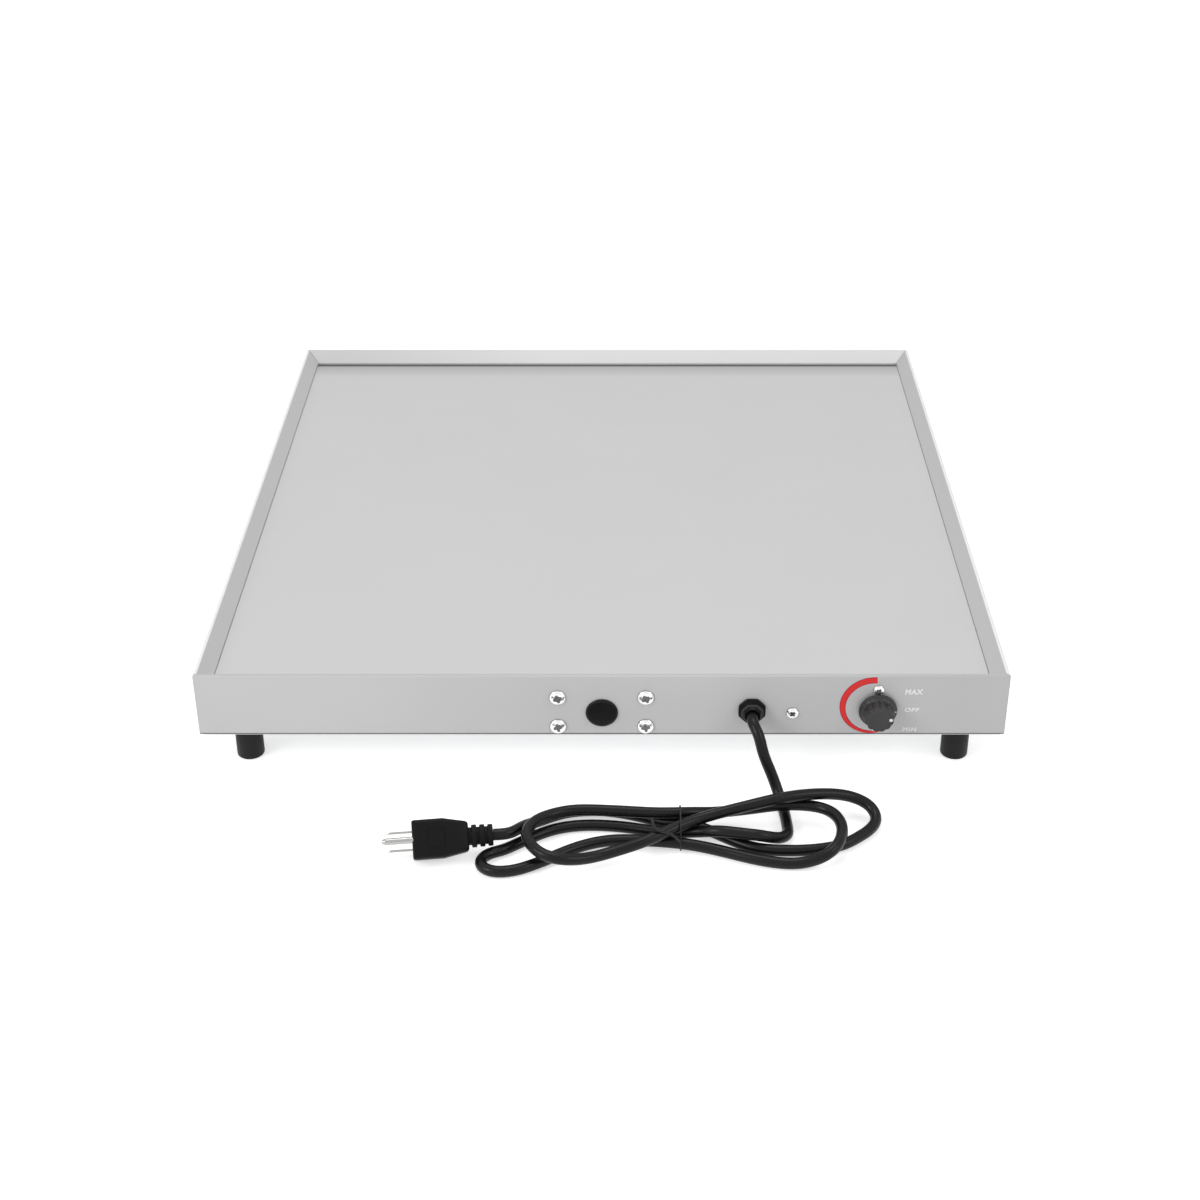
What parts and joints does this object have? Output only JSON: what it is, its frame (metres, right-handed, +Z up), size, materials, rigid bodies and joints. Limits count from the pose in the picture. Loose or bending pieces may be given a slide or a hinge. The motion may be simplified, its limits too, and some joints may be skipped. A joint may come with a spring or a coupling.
{
  "type": "countertop warming shelf",
  "caption": "Low heated steel tray on four short black feet, with a thermostat knob, screws, a blank plug and a corded strain relief on its front panel, the cord tied in a hank.",
  "frame": {"origin": "on the surface that the shelf stands on, under the middle of its outline, knob included and cord left out", "axes": "+X to the right as seen from the control panel's side, +Y from the front to the back, +Z up"},
  "size_m": [0.6096, 0.7465, 0.083],
  "materials": {
    "steel": "satin stainless sheet",
    "plate": "matt grey anodised plate",
    "element_steel": "dull dark steel sheath",
    "zinc": "zinc plated",
    "nickel": "bright nickel plated",
    "copper": "bare copper",
    "contact_brass": "bright pressed brass",
    "black_rubber": "satin black",
    "black_plastic": "satin black moulding",
    "dark_plastic": "dark phenolic moulding",
    "white_plastic": "white moulding",
    "mineral_wool": "pressed mineral fibre mat",
    "red_wire": "red wire jacket",
    "white_wire": "white wire jacket",
    "green_wire": "green wire jacket"
  },
  "bodies": {
    "shelf": {"bottom_cover": "steel", "bulb_clip": "zinc", "capillary_tube": "copper", "cord_hank": "black_rubber", "cord_lead": "black_rubber", "cord_tail": "black_rubber", "element_clamp_left": "zinc", "element_clamp_middle": "zinc", "element_clamp_right": "zinc", "foot_front_left": "black_rubber", "foot_front_right": "black_rubber", "foot_nut_front_left": "zinc", "foot_nut_front_right": "zinc", "foot_nut_rear_left": "zinc", "foot_nut_rear_right": "zinc", "foot_rear_left": "black_rubber", "foot_rear_right": "black_rubber", "foot_screw_front_left": "zinc", "foot_screw_front_right": "zinc", "foot_screw_rear_left": "zinc", "foot_screw_rear_right": "zinc", "front_panel": "steel", "ground_nut": "zinc", "ground_screw": "nickel", "heated_plate": "plate", "heating_element": "element_steel", "hole_plug": "black_plastic", "insulation_blanket": "mineral_wool", "left_side_panel": "steel", "limit_thermostat": "dark_plastic", "panel_screw_lower_left": "nickel", "panel_screw_lower_right": "nickel", "panel_screw_upper_left": "nickel", "panel_screw_upper_right": "nickel", "plug_blade_far": "contact_brass", "plug_blade_near": "contact_brass", "plug_body": "black_plastic", "plug_ground_pin": "contact_brass", "rear_panel": "steel", "right_side_panel": "steel", "sensor_bulb": "copper", "strain_relief": "black_plastic", "strain_relief_nut": "black_plastic", "terminal_block": "white_plastic", "terminal_bracket": "zinc", "thermostat_body": "dark_plastic", "thermostat_bracket": "zinc", "thermostat_screw_lower": "nickel", "thermostat_screw_upper": "nickel", "twist_tie": "black_plastic", "wire_element_live": "red_wire", "wire_element_neutral": "white_wire", "wire_ground": "green_wire", "wire_limit": "white_wire", "wire_live": "red_wire"},
    "knob": {"control_knob": "black_plastic", "knob_pointer": "white_plastic", "thermostat_shaft": "zinc"}
  },
  "joints": [
    {"name": "knob_turn", "type": "hinge", "parent": "shelf", "child": "knob", "pos_m": [0.2073, -0.2969, 0.0533], "axis": [0, 1, 0], "range_deg": [0, 270]}
  ]
}
